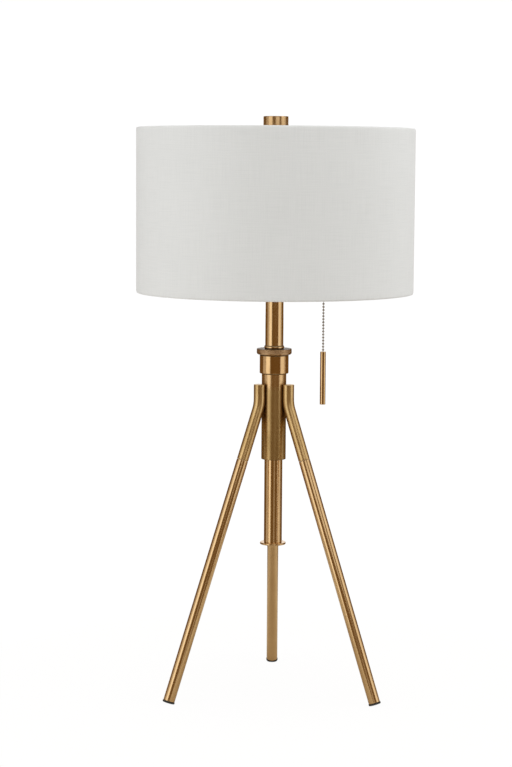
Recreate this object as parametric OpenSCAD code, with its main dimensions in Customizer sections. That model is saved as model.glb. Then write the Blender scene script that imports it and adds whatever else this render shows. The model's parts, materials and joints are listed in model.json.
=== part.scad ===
// Table lamp: three slanted legs hold a collar, a column slides in the collar, and a drum
// shade, two bulb sockets and a pull chain ride on the column. Millimetres, +Z up, the origin
// on the floor under the column, the front legs towards -Y and the pull chain at +X.

/* [Stand] */
// Radius of the circle on which the leg axes meet the floor
foot_spread = 163.6; // [140:0.1:180]
// Height at which each leg bends from upright to slanted
hip_h = 405; // [380:1:430]
// Diameter of the legs
leg_d = 15.9; // [13:0.1:18]
// Wall of the lower leg tubes
leg_wall = 1.5; // [1:0.1:2.5]
// Radius of the bend in each leg
bend_r = 50; // [35:1:60]
// Height of the upright stub above the bend
stub_rise = 28; // [22:1:34]
// Length of the bent upper leg below the bend
upper_leg_l = 71.5; // [60:0.5:110]
// How deep each leg is let into the collar
leg_sink = 2; // [0.3:0.1:2.4]
// Diameter of the studs that join the upper and lower legs
stud_d = 8; // [6:0.5:9]
// Length of the studs
stud_l = 30; // [20:1:36]
// Solid end of each lower leg behind its stud
leg_plug_l = 10; // [6:1:20]

/* [Feet] */
// How far a foot cap stands out round its leg
cap_step = 0.5; // [0.2:0.1:1.5]
// Thickness of the foot caps
cap_t = 2.6; // [2:0.1:5]
// Length of the plug that holds a foot cap in its leg
cap_plug_l = 14; // [8:1:25]
// Depth of the flat on which each foot stands
foot_flat = 1; // [0.5:0.1:1.5]

/* [Collar] */
// Wall of the nylon guide bush
bush_wall = 2.5; // [2:0.1:4]
// Length of the guide bush
bush_l = 18; // [10:1:40]
// Wall of the collar tube
collar_wall = 1.85; // [1.5:0.05:3]
// How far the collar reaches below the leg bends
collar_drop = 77; // [60:1:95]
// Height of the head's underside above the leg bends
head_rise = 42.6; // [36:0.1:50]
// How far the head stands out round the collar
head_step = 3; // [2:0.1:5]
// Height of the head
head_h = 26; // [24:0.5:32]
// Depth of the collar tube in the head
head_socket = 12; // [8:0.5:13]

/* [Lock] */
// Wall of the collet
collet_wall = 2.5; // [2:0.1:2.8]
// How far the collet's wedge stands out
wedge_step = 1.3; // [0.8:0.1:1.6]
// Height of the collet's wedge
wedge_h = 5; // [4:0.5:7]
// Width of the slits in the collet
slit_w = 1.2; // [0.8:0.1:2]
// Depth of the slits in the collet
slit_h = 14; // [8:1:16]
// How far the lock ring stands out round the head
ring_step = 4.25; // [2:0.05:7]
// Height of the lock ring
ring_h = 7.8; // [6:0.1:12]
// How far the collet's lip stands out round the column
lip_step = 1.95; // [1.5:0.05:2.4]
// Height of the collet's lip
lip_h = 3.6; // [3:0.1:5]
// Height of the groove under the lip
lip_groove = 1; // [0.6:0.1:2]

/* [Column] */
// Diameter of the sliding column
column_d = 25; // [22:0.5:27]
// Wall of the column
column_wall = 1.2; // [1:0.1:2]
// Length of the column below the collar
lower_reach = 117; // [90:1:130]
// Length of the column above the collet's lip
upper_reach = 76.6; // [60:0.1:100]
// How far the end flange stands out round the column
flange_step = 5.4; // [3:0.1:8]
// Thickness of the end flange
flange_t = 2.9; // [2:0.1:5]
// Diameter of the cord outlet
outlet_d = 6.8; // [5:0.1:8]
// Wall of the cord bushing
bushing_wall = 3; // [2:0.1:3.5]
// Length of the cord bushing
bushing_l = 9; // [6:0.5:14]
// Length of the plug at each end of the column
plug_l = 18; // [10:1:25]

/* [Cluster] */
// Diameter of the threaded riser pipe
riser_d = 9.7; // [9:0.1:10.5]
// Bore of the riser pipe and the arm nipples
riser_bore = 6; // [4:0.1:7]
// Diameter of the cluster hub
hub_d = 38; // [36:1:44]
// Height of the cluster hub
hub_h = 25; // [22:1:30]
// Wall of the cluster hub
hub_wall = 2.5; // [2:0.1:4]
// Thickness of the plate under the hub and of the plug's flange
plate_t = 3; // [2:0.1:4]
// Diameter of the two socket arms
arm_d = 13; // [12.5:0.1:13.6]
// Depth below the hub's top at which the arm axes cross
arm_drop = 18; // [17:0.5:20]
// Lean of the sockets from upright
socket_lean = 45; // [42:1:50]
// Distance from the crossing of the arm axes to each socket cap
socket_reach = 44.8; // [42:0.1:50]
// Width across the flats of the nuts
nut_w = 14; // [13:0.1:15]
// Thickness of the nuts
nut_t = 4; // [3:0.1:5]

/* [Sockets] */
// Diameter of the bulb thread
thread_d = 26.2; // [25:0.1:28]
// Pitch of the bulb thread
thread_pitch = 3.6; // [3:0.1:4]
// Sheet thickness of the socket caps and shells
sheet_t = 0.6; // [0.5:0.05:1]
// Thickness of the fibre liners
fibre_t = 0.5; // [0.4:0.05:1]
// Wall of the socket core round the screw shell
core_wall = 1; // [0.8:0.05:2]
// Height of the socket caps
socket_cap_h = 15; // [12:0.5:18]
// Height of the switch block in each socket
switch_h = 31; // [31:0.5:34]
// Length of the screw shells
screw_l = 20; // [17:0.5:24]

/* [Bulbs] */
// Diameter of the bulbs
bulb_d = 60; // [50:1:64]
// Length of the bulbs with their bases
bulb_l = 108; // [95:1:115]
// Wall of the bulb's globe
globe_wall = 0.8; // [0.6:0.1:1.5]

/* [Pull chain] */
// Diameter of the chain beads
bead_d = 3.2; // [2.8:0.1:3.6]
// Distance from bead to bead
bead_pitch = 4.23; // [4.15:0.01:4.8]
// Diameter of the wire between beads
link_d = 0.9; // [0.7:0.05:1.1]
// Number of beads below the chain guide
bead_n = 29; // [20:1:32]
// Travel of the pull chain
pull_travel = 9; // [6:0.5:9]
// Diameter of the pull bar
bar_d = 7.8; // [7:0.1:11]
// Length of the pull bar
bar_l = 73.5; // [50:0.5:90]
// Bore of the chain guide
guide_bore = 4.6; // [4.5:0.1:5.2]
// Wall of the chain guide
guide_wall = 1; // [0.7:0.05:1.4]
// Bend radius of the chain guide
guide_bend = 6; // [5:0.5:8]
// Length of the upright end of the chain guide
guide_l = 10.6; // [10:0.1:15]
// Height of the chain guide along its socket
guide_pos = 27; // [26.5:0.1:27.5]
// Length of the switch lever
lever_l = 10; // [9.5:0.1:10.5]

/* [Shade] */
// Outer diameter of the shade
shade_d = 381; // [340:1:430]
// Height of the shade
shade_h = 225; // [190:1:260]
// Thickness of the fabric
fabric_t = 0.8; // [0.6:0.05:1.5]
// Thickness of the liner behind the fabric
liner_t = 0.6; // [0.4:0.05:1.2]
// Diameter of the wire of the shade rings and the spider
wire_d = 3.2; // [2.5:0.1:5]
// Distance from the hub's top to the spider
riser_rise = 174; // [165:1:200]
// Depth of the spider below the shade's top edge
spider_drop = 16; // [8:0.5:25]
// Diameter of the spider's plate
spider_plate_d = 38; // [34:0.5:50]
// Thickness of the spider's plate
spider_plate_t = 2; // [1.5:0.1:3]

/* [Finial] */
// Diameter of the finial
finial_d = 34.5; // [24:0.5:45]
// Height of the finial above the shade's top edge
finial_h = 15.8; // [12:0.1:25]
// Diameter of the finial's neck
neck_d = 17; // [14:0.5:22]
// Solid crown above the finial's thread
crown_t = 7; // [4:0.5:9]

/* [Hidden] */
$fn = 64;

// Radial gap of what is pressed, screwed or glued together
fit_gap = 0.05;
// Radial gap of what slides or turns
run_gap = 0.06;
// Gap between faces that turn past each other
face_gap = 0.3;
// Overshoot of a cutting solid
over = 1;
// Small chamfer on turned edges
chamfer = 0.6;
// How far one piece is set back from the end of the next
setback = 1;
// Bent stretches are this much slimmer than the straight ones that they run into
bend_slim = 0.02;
// Angle by which a bent stretch runs into the straight one at each end
bend_lap = 1;

// Directions of the legs, anticlockwise from +X
az_left = 210;
az_right = 330;
az_back = 90;

// Collar and lock, from the column outwards
column_r = column_d / 2;
column_in = column_r - column_wall;
slide_r = column_r + run_gap;
bush_r = slide_r + bush_wall;
collar_in = bush_r + fit_gap;
collar_r = collar_in + collar_wall;
head_r = collar_r + head_step;
collet_r = slide_r + collet_wall;
wedge_r = collet_r + wedge_step;
ring_r = head_r + ring_step;
lip_r = column_r + lip_step;
groove_r = column_r + lip_step / 2;

// Heights on the stand
collar_z0 = hip_h - collar_drop;
head_z0 = hip_h + head_rise;
collar_z1 = head_z0 + head_socket;
head_z1 = head_z0 + head_h;
ring_z0 = head_z1 + face_gap;
ring_z1 = ring_z0 + ring_h;
collet_z0 = collar_z1 + face_gap;
// Upright foot under the collet's wedge
wedge_foot = 1;
lip_z0 = ring_z1 + lip_groove;
lip_z1 = lip_z0 + lip_h;

// Legs: the hip is where the upright and the slanted axis of a leg would cross
leg_r = leg_d / 2;
leg_in = leg_r - leg_wall;
cap_r = leg_r + cap_step;
hip_r = collar_r + leg_r - leg_sink;
leg_tilt = atan((foot_spread - hip_r) / hip_h);
bend_l = bend_r * tan(leg_tilt / 2);
joint_l = bend_l + upper_leg_l;
leg_l = (hip_h - cap_r * sin(leg_tilt) + foot_flat) / cos(leg_tilt);
stud_r = stud_d / 2;

// Heights on the column
tube_z0 = collar_z0 - lower_reach;
flange_z0 = tube_z0 - flange_t;
tube_z1 = lip_z1 + upper_reach;
plate_z0 = tube_z1 + plate_t;
hub_z0 = plate_z0 + plate_t;
hub_z1 = hub_z0 + hub_h;
arm_z = hub_z1 - arm_drop;
spider_z0 = hub_z1 + riser_rise;
spider_z1 = spider_z0 + spider_plate_t;
shade_z1 = spider_z0 + spider_drop;
shade_z0 = shade_z1 - shade_h;
finial_z1 = shade_z1 + finial_h;
thread_z1 = finial_z1 - crown_t;

// Cluster and riser
riser_r = riser_d / 2;
screw_hole_r = riser_r + fit_gap;
hub_r = hub_d / 2;
hub_in = hub_r - hub_wall;
nut_r = nut_w / 2 / cos(30);
// Seat under the spider's plate: thickness, and how far it stands out round its nut
seat_t = 2;
seat_step = 2;
// Spigot that centres the plate in the hub
spigot_h = 2;
arm_r = arm_d / 2;
arm_l = socket_reach - nut_t;
// The nipples start clear of the riser and end inside the socket caps
nipple_l0 = 14;
nipple_l1 = socket_reach + 3;
// Radius of the leads and half the space between two of them
lead_r = 1.1;
lead_gap = 0.15;

// Sockets, from the bulb thread outwards; lengths run along the socket from its cap
thread_r = thread_d / 2;
thread_depth = 0.5;
thread_gap = 0.25;
screw_t = 0.45;
screw_in = thread_r + thread_gap;
screw_r = screw_in + screw_t;
core_in = screw_r + fit_gap;
core_r = core_in + core_wall;
liner_in = core_r + fit_gap;
liner_r = liner_in + fibre_t;
shell_in = liner_r + fit_gap;
shell_r = shell_in + sheet_t;
socket_cap_in = shell_r + fit_gap;
socket_cap_r = socket_cap_in + sheet_t;
block_z0 = 5;
block_z1 = block_z0 + switch_h;
core_z1 = block_z1 + screw_l - setback;
shell_z0 = 8.3;
shell_z1 = core_z1 + 3;
contact_r = 3;
contact_tip_r = 2.1;
contact_t = 1.4;
// Dome of a socket cap: shares of its radius and of its shoulder's height, from the flat outwards
dome_r = [0.55, 0.82, 0.96];
dome_h = [0, 0.22, 0.6];

// Bulbs
bulb_z0 = block_z1 + contact_t + face_gap;
base_cone = 4;
base_z1 = shell_z1 + face_gap;
globe_z0 = base_z1 + fit_gap;
globe_r = bulb_d / 2;
globe_c = bulb_z0 + bulb_l - globe_r;

// Switch: the lever swings evenly to both sides of the chain's line
lever_half = asin(pull_travel / 2 / lever_l);
lever_z = guide_pos - lever_l * (1 + cos(lever_half)) / 2;
lever_hub_r = 2.5;
lever_tip_r = 0.9;
lever_t = 4.4;
lever_slot = 1.6;
pin_r = 1;
pin_l = 16;
slot_w = 6;
link_x0 = -pull_travel / 2 - lever_tip_r - bead_d / 2 - face_gap;
link_beads = [2, 3, 4];

// Chain guide and chain
guide_in = guide_bore / 2;
guide_r = guide_in + guide_wall;
guide_x0 = liner_r - fit_gap;
guide_x1 = shell_r + 5;
mouth_flare = 1.4;
mouth_h = 2.5;
cap_x = socket_reach * sin(socket_lean);
cap_z = arm_z + socket_reach * cos(socket_lean);
elbow_x = cap_x + guide_x1 * cos(socket_lean) + guide_pos * sin(socket_lean);
elbow_z = cap_z - guide_x1 * sin(socket_lean) + guide_pos * cos(socket_lean);
elbow_turn = 90 - socket_lean;
chain_x = elbow_x + guide_bend * (1 - cos(elbow_turn));
guide_z1 = elbow_z - guide_bend * sin(elbow_turn);
mouth_z = guide_z1 - guide_l;
bead_r = bead_d / 2;
link_r = link_d / 2;
// Height of the chain's lowest guided bead above the guide's mouth
mouth_rise = 0.4;
pivot_z = mouth_z + bead_r + mouth_rise;
joint_z = pivot_z - bead_pitch;
hook_z = pivot_z - bead_n * bead_pitch;
hook_depth = 1.7;
bead_gap = 0.15;
bar_z1 = hook_z + hook_depth;
bar_z0 = bar_z1 - bar_l;
bar_r = bar_d / 2;
// The bar's mouth is narrower than a bead, so it holds the last one
bar_hole_share = 0.86;
bar_hole_r = bar_hole_share * bead_r;

// Shade
shade_r = shade_d / 2;
liner_outer = shade_r - fabric_t - fit_gap;
wire_r = wire_d / 2;
ring_wire_r = liner_outer - liner_t - fit_gap - wire_r;
ring_inset = 0.3;
post_wall = 0.4;
post_r = wire_r + post_wall;
spider_reach = ring_wire_r - wire_r - post_r - fit_gap;
spider_angles = [90, 210, 330];

brass = [0.70, 0.52, 0.30];
bright_brass = [0.80, 0.60, 0.36];
steel = [0.62, 0.60, 0.57];
linen = [0.93, 0.92, 0.89];
phenolic = [0.12, 0.11, 0.10];
rubber = [0.06, 0.06, 0.06];

// A solid of revolution from a half outline of [radius, height] points
module turned(outline) {
    rotate_extrude() polygon(outline);
}

module pipe(outer, inner, z0, z1) {
    difference() {
        translate([0, 0, z0]) cylinder(r = outer, h = z1 - z0);
        translate([0, 0, z0 - over]) cylinder(r = inner, h = z1 - z0 + 2 * over);
    }
}

module hex_nut(z0) {
    difference() {
        translate([0, 0, z0]) cylinder(r = nut_r, h = nut_t, $fn = 6);
        translate([0, 0, z0 - over]) cylinder(r = screw_hole_r, h = nut_t + 2 * over);
    }
}

// A bend round the origin in the XZ plane, from +X upwards
module bend(r, bend_radius, turn) {
    rotate([90, 0, 0]) rotate([0, 0, -bend_lap]) rotate_extrude(angle = turn + 2 * bend_lap)
        translate([bend_radius, 0]) circle(r = r - bend_slim);
}

// Places children in the upright plane of a leg, with X outwards
module at_leg(az) {
    rotate([0, 0, az]) children();
}

// Places children along a leg, with Z from the hip down the slant
module along_leg() {
    translate([hip_r, 0, hip_h]) rotate([0, 180 - leg_tilt, 0]) children();
}

// Places children on an arm, with Z from the crossing of the arm axes outwards
module on_arm(side) {
    translate([0, 0, arm_z]) rotate([0, side * socket_lean, 0]) children();
}

// Places children in a socket, with Z from its cap outwards
module in_socket(side) {
    on_arm(side) translate([0, 0, socket_reach]) children();
}

// A bead chain along Z: beads at the given heights on one wire
module beads(heights, wire_z0, wire_z1) {
    for (z = heights) translate([0, 0, z]) sphere(r = bead_r);
    translate([0, 0, wire_z0]) cylinder(r = link_r, h = wire_z1 - wire_z0);
}

module collar_tube() {
    color(brass) pipe(collar_r, collar_in, collar_z0, collar_z1);
}

module collar_head() {
    seat_z = collet_z0 + wedge_foot;
    color(brass) turned([
        [collar_r + fit_gap, head_z0], [head_r - chamfer, head_z0], [head_r, head_z0 + chamfer],
        [head_r, head_z1 - chamfer], [head_r - chamfer, head_z1], [collet_r + run_gap, head_z1],
        [collet_r + run_gap, seat_z + wedge_h], [wedge_r + run_gap, seat_z],
        [wedge_r + run_gap, collar_z1], [collar_r + fit_gap, collar_z1]]);
}

module guide_bush() {
    color("ivory") pipe(bush_r, slide_r, collar_z0, collar_z0 + bush_l);
}

// Upright stub, bend and start of the slant, coped to lie against the collar
module leg_bend(az) {
    color(brass) difference() {
        at_leg(az) {
            translate([hip_r, 0, hip_h + bend_l]) cylinder(r = leg_r, h = stub_rise - bend_l);
            translate([hip_r + bend_r, 0, hip_h + bend_l]) rotate([0, 180, 0])
                bend(leg_r, bend_r, leg_tilt);
            along_leg() translate([0, 0, bend_l]) cylinder(r = leg_r, h = upper_leg_l);
        }
        at_leg(az) along_leg() translate([0, 0, joint_l - stud_l / 2])
            cylinder(r = stud_r + fit_gap, h = stud_l / 2 + over);
        translate([0, 0, hip_h - joint_l])
            cylinder(r = collar_r + fit_gap, h = joint_l + stub_rise + over);
    }
}

module leg_stud(az) {
    color(steel) at_leg(az) along_leg()
        translate([0, 0, joint_l - stud_l / 2 + fit_gap]) cylinder(r = stud_r, h = stud_l - 2 * fit_gap);
}

module leg_rod(az) {
    solid_l = stud_l / 2 + leg_plug_l;
    rod_l = leg_l - cap_t - joint_l;
    color(bright_brass) at_leg(az) along_leg() translate([0, 0, joint_l]) difference() {
        translate([0, 0, fit_gap]) cylinder(r = leg_r, h = rod_l - 2 * fit_gap);
        translate([0, 0, -over]) cylinder(r = stud_r + fit_gap, h = stud_l / 2 + over);
        translate([0, 0, solid_l]) cylinder(r = leg_in, h = rod_l - solid_l + over);
    }
}

module foot_cap(az) {
    color(rubber) at_leg(az) difference() {
        along_leg() {
            translate([0, 0, leg_l - cap_t]) cylinder(r = cap_r, h = cap_t);
            translate([0, 0, leg_l - cap_t - cap_plug_l])
                cylinder(r = leg_in - fit_gap, h = cap_plug_l + over);
        }
        translate([foot_spread - 2 * leg_d, -leg_d, -leg_d]) cube([4 * leg_d, 2 * leg_d, leg_d]);
    }
}

// Split sleeve: its wedge is drawn into the head and grips the column
module collet() {
    wedge_z = collet_z0 + wedge_foot;
    color(bright_brass) difference() {
        turned([
            [slide_r, collet_z0], [wedge_r, collet_z0], [wedge_r, wedge_z], [collet_r, wedge_z + wedge_h],
            [collet_r, ring_z1], [groove_r, ring_z1], [groove_r, lip_z0],
            [lip_r, lip_z0 + lip_h / 3], [lip_r, lip_z0 + lip_h / 2],
            [slide_r + chamfer / 2, lip_z1], [slide_r, lip_z1]]);
        for (a = [0, 90]) rotate([0, 0, a])
            translate([-wedge_r - over, -slit_w / 2, collet_z0 - over])
                cube([2 * (wedge_r + over), slit_w, slit_h + over]);
    }
}

module lock_ring() {
    bore = collet_r + run_gap;
    color(brass) turned([
        [bore, ring_z0], [ring_r - chamfer, ring_z0], [ring_r, ring_z0 + chamfer],
        [ring_r, ring_z1 - chamfer], [ring_r - chamfer, ring_z1], [bore, ring_z1]]);
}

module column_tube() {
    color(bright_brass) pipe(column_r, column_in, tube_z0, tube_z1);
}

module end_flange() {
    rim_r = column_r + flange_step;
    bevel = flange_t / 3;
    hole_r = outlet_d / 2 + bushing_wall + fit_gap;
    color(bright_brass) turned([
        [hole_r, flange_z0], [rim_r - bevel, flange_z0], [rim_r, flange_z0 + bevel],
        [rim_r, tube_z0 - bevel], [rim_r - bevel, tube_z0], [column_in - fit_gap, tube_z0],
        [column_in - fit_gap, tube_z0 + plug_l / 2], [hole_r, tube_z0 + plug_l / 2]]);
}

module cord_bushing() {
    color(rubber) pipe(outlet_d / 2 + bushing_wall, outlet_d / 2, flange_z0, flange_z0 + bushing_l);
}

module tube_plug() {
    color(steel) turned([
        [screw_hole_r, tube_z1 - plug_l], [column_in - fit_gap, tube_z1 - plug_l],
        [column_in - fit_gap, tube_z1], [column_r, tube_z1], [column_r, plate_z0],
        [screw_hole_r, plate_z0]]);
}

module riser_pipe() {
    color(bright_brass) pipe(riser_r, riser_bore / 2, tube_z1 - plug_l, thread_z1 - face_gap);
}

// Nuts on the plate in the hub, on the hub and under the shade's seat
module riser_nuts() {
    color(bright_brass) {
        hex_nut(hub_z0 + spigot_h);
        hex_nut(hub_z1);
        hex_nut(spider_z0 - seat_t - nut_t);
    }
}

module hub_plate() {
    color(brass) turned([
        [screw_hole_r, plate_z0], [hub_r, plate_z0], [hub_r, hub_z0], [hub_in - fit_gap, hub_z0],
        [hub_in - fit_gap, hub_z0 + spigot_h], [screw_hole_r, hub_z0 + spigot_h]]);
}

module cluster_hub() {
    color(brass) difference() {
        union() {
            translate([0, 0, hub_z0]) cylinder(r = hub_r, h = hub_h);
            for (side = [-1, 1]) on_arm(side) cylinder(r = arm_r, h = arm_l);
        }
        translate([0, 0, hub_z0 - over]) cylinder(r = hub_in, h = hub_h - hub_wall + over);
        for (side = [-1, 1]) on_arm(side) cylinder(r = screw_hole_r, h = arm_l + over);
        translate([0, 0, hub_z1 - 2 * hub_wall])
            cylinder(r = screw_hole_r, h = 2 * hub_wall + over);
        translate([0, 0, hub_z1]) cylinder(r = nut_r + fit_gap, h = arm_drop);
    }
}

module arm_nipples() {
    color(bright_brass) for (side = [-1, 1])
        on_arm(side) pipe(riser_r, riser_bore / 2, nipple_l0, nipple_l1);
}

module arm_nuts() {
    color(bright_brass) for (side = [-1, 1]) on_arm(side) hex_nut(arm_l);
}

// A pair of leads through each nipple
module socket_leads() {
    color("black") for (side = [-1, 1], y = [-1, 1])
        on_arm(side) translate([0, y * (lead_r + lead_gap), nipple_l0])
            cylinder(r = lead_r, h = nipple_l1 - nipple_l0);
}

module socket_cap(side) {
    shoulder = socket_cap_h / 2;
    color(brass) in_socket(side) turned([
        [screw_hole_r, 0],
        for (k = [0:2]) [dome_r[k] * socket_cap_r, dome_h[k] * shoulder],
        [socket_cap_r, shoulder + sheet_t], [socket_cap_r, socket_cap_h],
        [socket_cap_in, socket_cap_h], [socket_cap_in, shoulder + sheet_t],
        for (k = [2:-1:0]) [dome_r[k] * socket_cap_in, dome_h[k] * shoulder + 2 * sheet_t],
        [screw_hole_r, 2 * sheet_t]]);
}

module guide_hole(z_len) {
    translate([0, 0, guide_pos]) rotate([0, 90, 0]) cylinder(r = guide_r + fit_gap, h = z_len);
}

module socket_shell(side, guided) {
    rim = 0.7;
    color(brass) in_socket(side) difference() {
        turned([
            [shell_in, shell_z0], [shell_r, shell_z0], [shell_r, shell_z1 - 3 * rim],
            [shell_r + rim, shell_z1 - 2 * rim], [shell_r + rim, shell_z1 - rim],
            [shell_r, shell_z1], [shell_in, shell_z1]]);
        if (guided) guide_hole(shell_r + over);
    }
}

module fibre_liners() {
    color("tan") {
        in_socket(-1) pipe(liner_r, liner_in, shell_z0 + fit_gap, core_z1);
        in_socket(1) difference() {
            pipe(liner_r, liner_in, shell_z0 + fit_gap, core_z1);
            guide_hole(liner_r + over);
        }
    }
}

module core_blank() {
    turned([
        [0, block_z0], [0.8 * core_r, block_z0], [core_r, shell_z0 + setback], [core_r, core_z1],
        [core_in, core_z1], [core_in, block_z1], [0, block_z1]]);
}

module socket_core_left() {
    color(phenolic) in_socket(-1) core_blank();
}

// The right core has room for the switch lever and a channel for the chain
module socket_core_right() {
    color(phenolic) in_socket(1) difference() {
        core_blank();
        translate([link_x0 - bead_r - over, -slot_w / 2, lever_z - lever_hub_r - over])
            cube([bead_r + over - 2 * link_x0, slot_w,
                guide_pos + 2 * bead_r - lever_z + lever_hub_r + over]);
        translate([0, 0, guide_pos]) rotate([0, 90, 0]) cylinder(r = guide_in, h = core_r + over);
        translate([0, pin_l / 2 + fit_gap, lever_z]) rotate([90, 0, 0])
            cylinder(r = pin_r + fit_gap, h = pin_l + 2 * fit_gap);
    }
}

module screw_shell(side) {
    color(bright_brass) in_socket(side) turned([
        [2 * contact_r, block_z1], [screw_r, block_z1], [screw_r, block_z1 + screw_l],
        [screw_in, block_z1 + screw_l], [screw_in, block_z1 + screw_t],
        [2 * contact_r, block_z1 + screw_t]]);
}

module centre_contacts() {
    color(bright_brass) for (side = [-1, 1]) in_socket(side)
        translate([0, 0, block_z1]) cylinder(r1 = contact_r, r2 = contact_tip_r, h = contact_t);
}

// Elbowed guide: out of the right socket, then straight down with a flared mouth
module guide_solid(r, flare, reach) {
    in_socket(1) translate([guide_x0 - reach, 0, guide_pos]) rotate([0, 90, 0])
        cylinder(r = r, h = guide_x1 - guide_x0 + reach);
    translate([chain_x - guide_bend, 0, guide_z1]) bend(r, guide_bend, elbow_turn);
    translate([chain_x, 0, mouth_z]) cylinder(r = r, h = guide_l);
    translate([chain_x, 0, mouth_z - reach])
        cylinder(r1 = r + flare * (1 + reach / mouth_h), r2 = r, h = mouth_h + reach);
}

module chain_guide() {
    color(bright_brass) difference() {
        guide_solid(guide_r, mouth_flare, 0);
        guide_solid(guide_in, mouth_flare, over);
    }
}

module lever_pin() {
    color(steel) in_socket(1) translate([0, pin_l / 2, lever_z]) rotate([90, 0, 0])
        cylinder(r = pin_r, h = pin_l);
}

// Forked lever that the chain's link pulls round its pin
module switch_lever() {
    color(steel) in_socket(1) translate([0, 0, lever_z]) rotate([0, -lever_half, 0]) difference() {
        union() {
            rotate([90, 0, 0]) cylinder(r = lever_hub_r, h = lever_t, center = true);
            translate([-lever_tip_r, -lever_t / 2, 0]) cube([2 * lever_tip_r, lever_t, lever_l]);
            translate([0, 0, lever_l]) rotate([90, 0, 0])
                cylinder(r = lever_tip_r, h = lever_t, center = true);
        }
        rotate([90, 0, 0]) cylinder(r = pin_r + run_gap, h = lever_t + over, center = true);
        translate([-lever_hub_r, -lever_slot / 2, lever_hub_r + setback])
            cube([2 * lever_hub_r, lever_slot, lever_l]);
    }
}

// Link from the lever's fork into the chain guide
module switch_link() {
    wire_l = link_beads[len(link_beads) - 1] * bead_pitch;
    color(steel) in_socket(1) translate([link_x0, 0, guide_pos]) rotate([0, 90, 0])
        beads([0, for (k = link_beads) k * bead_pitch], 0, wire_l);
}

// Beads inside the upright end of the guide
module chain_top() {
    color(steel) translate([chain_x, 0, pivot_z])
        beads([for (k = [0:2]) k * bead_pitch], 0, 2 * bead_pitch);
}

// The bead and wire below the guide's mouth
module chain_joint() {
    color(steel) translate([chain_x, 0, joint_z]) beads([0], 0, bead_pitch - bead_r - bead_gap);
}

module pull_chain() {
    color(steel) translate([chain_x, 0, hook_z])
        beads([for (k = [1:bead_n - 2]) k * bead_pitch],
            bead_r + bead_gap, (bead_n - 1) * bead_pitch - bead_r - bead_gap);
}

module bar_bead() {
    color(steel) translate([chain_x, 0, hook_z]) sphere(r = bead_r);
}

module pull_bar() {
    bevel = chamfer / 2;
    color(bright_brass) translate([chain_x, 0, 0]) difference() {
        turned([
            [0, bar_z0], [bar_r - bevel, bar_z0], [bar_r, bar_z0 + bevel],
            [bar_r, bar_z1 - bevel], [bar_r - bevel, bar_z1], [0, bar_z1]]);
        translate([0, 0, hook_z]) sphere(r = bead_r + bead_gap);
        translate([0, 0, hook_z]) cylinder(r = bar_hole_r, h = hook_depth + over);
    }
}

module spider_seat() {
    color(bright_brass) pipe(nut_r + seat_step, screw_hole_r, spider_z0 - seat_t, spider_z0);
}

module shade_fabric() {
    color(linen) pipe(shade_r, shade_r - fabric_t, shade_z0, shade_z1);
}

module shade_liner() {
    color("white") pipe(liner_outer, liner_outer - liner_t,
        shade_z0 + ring_inset, shade_z1 - ring_inset);
}

module wire_ring(z) {
    color(steel) translate([0, 0, z])
        rotate_extrude() translate([ring_wire_r, 0]) circle(r = wire_r, $fn = 32);
}

module shade_ring_top() {
    wire_ring(shade_z1 - ring_inset - wire_r);
}

module shade_ring_bottom() {
    wire_ring(shade_z0 + ring_inset + wire_r);
}

// Plate with three wires, each in a post that is soldered to the shade's top ring
module spider() {
    wire_x0 = neck_d / 2 + setback;
    color(steel) {
        pipe(spider_plate_d / 2, riser_r + run_gap, spider_z0, spider_z1);
        for (a = spider_angles) rotate([0, 0, a]) {
            translate([wire_x0, 0, spider_z1]) rotate([0, 90, 0])
                cylinder(r = wire_r, h = spider_reach - wire_x0);
            translate([spider_reach, 0, spider_z1 - post_r])
                cylinder(r = post_r, h = shade_z1 - ring_inset - spider_z1 + post_r);
        }
    }
}

module finial() {
    finial_r = finial_d / 2;
    bore = riser_r + run_gap;
    color(bright_brass) turned([
        [bore, spider_z1 + fit_gap], [neck_d / 2, spider_z1 + fit_gap], [neck_d / 2, shade_z1],
        [finial_r - chamfer, shade_z1], [finial_r, shade_z1 + chamfer],
        [finial_r, finial_z1 - chamfer], [finial_r - chamfer, finial_z1], [0, finial_z1],
        [0, thread_z1], [bore, thread_z1]]);
}

module bulb_base(side) {
    turns = floor((base_z1 - bulb_z0 - base_cone) / thread_pitch);
    ridge_z = bulb_z0 + base_cone;
    color(steel) in_socket(side) turned([
        [0, bulb_z0], [contact_r, bulb_z0], [contact_r + setback, bulb_z0 + setback],
        [thread_r - 2 * thread_depth, ridge_z - setback],
        for (k = [0:turns - 1], step = [0, 1])
            [thread_r - step * thread_depth, ridge_z + (k + step / 2) * thread_pitch],
        [thread_r, base_z1], [0, base_z1]]);
}

// Globe of the bulb: a cone from its neck runs tangent into a ball
function globe_outline(r, neck, z0) =
    let (a0 = atan2(z0 - globe_c, neck) + acos(r / norm([neck, z0 - globe_c])), steps = 18)
    [[neck, z0], for (k = [0:steps - 1]) let (a = a0 + (90 - a0) * k / steps)
        [r * cos(a), globe_c + r * sin(a)], [0, globe_c + r]];

module bulb_globe(side) {
    color("white") in_socket(side) difference() {
        turned([[0, globe_z0], each globe_outline(globe_r, thread_r, globe_z0)]);
        turned([[0, globe_z0 - over], [thread_r - globe_wall, globe_z0 - over],
            each globe_outline(globe_r - globe_wall, thread_r - globe_wall, globe_z0)]);
    }
}

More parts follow.
